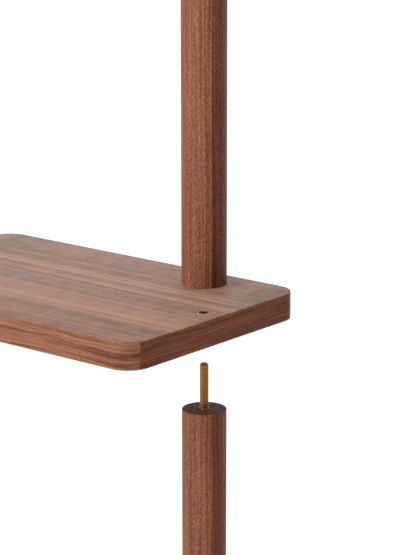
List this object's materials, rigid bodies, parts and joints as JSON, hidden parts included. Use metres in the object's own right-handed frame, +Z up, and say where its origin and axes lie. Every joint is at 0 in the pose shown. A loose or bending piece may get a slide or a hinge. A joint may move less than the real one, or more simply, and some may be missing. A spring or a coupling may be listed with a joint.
{
  "type": "wall shelf",
  "caption": "Small walnut wall shelf with rounded corners, a hidden wall bar, and a round post line that screws together through the board on brass studs.",
  "frame": {"origin": "on the wall, at the centre of the wall bar's back face, level with the middle of the board", "axes": "+Z up, +X along the wall to the right seen from the room, +Y into the wall"},
  "size_m": [0.265, 0.168, 0.618],
  "materials": {
    "board_core": "raw fibreboard",
    "walnut_face": "satin lacquered walnut veneer",
    "walnut_edge": "satin lacquered walnut edge band, lighter",
    "walnut_edge_dark": "satin lacquered walnut edge band, darker",
    "walnut_post": "satin lacquered solid walnut",
    "brass": "satin brass",
    "bracket_steel": "zinc plated steel"
  },
  "bodies": {
    "wall_bracket": {"wall_bar": "bracket_steel", "wall_rod_left": "bracket_steel", "wall_rod_right": "bracket_steel"},
    "shelf": {"shelf_core": "board_core", "shelf_top_veneer": "walnut_face", "shelf_bottom_veneer": "walnut_face", "edge_band_front": "walnut_edge", "edge_band_right": "walnut_edge_dark", "edge_band_back": "walnut_edge", "edge_band_left": "walnut_edge_dark", "post_hole_bush": "brass", "end_hole_bush": "brass"},
    "upper_post": {"upper_post": "walnut_post", "upper_post_stud": "brass", "upper_post_insert": "brass"},
    "lower_post": {"lower_post": "walnut_post", "lower_post_stud": "brass", "lower_post_insert": "brass"}
  },
  "joints": [
    {"name": "shelf_slide", "type": "slide", "parent": "wall_bracket", "child": "shelf", "axis": [0, -1, 0], "range_m": [0, 0.12]},
    {"name": "upper_post_turn", "type": "hinge", "parent": "shelf", "child": "upper_post", "pos_m": [0.073, -0.0265, 0.009], "axis": [0, 0, 1], "continuous": true},
    {"name": "lower_post_lift", "type": "slide", "parent": "shelf", "child": "lower_post", "axis": [0, 0, 1], "range_m": [0, 0.0685]}
  ]
}
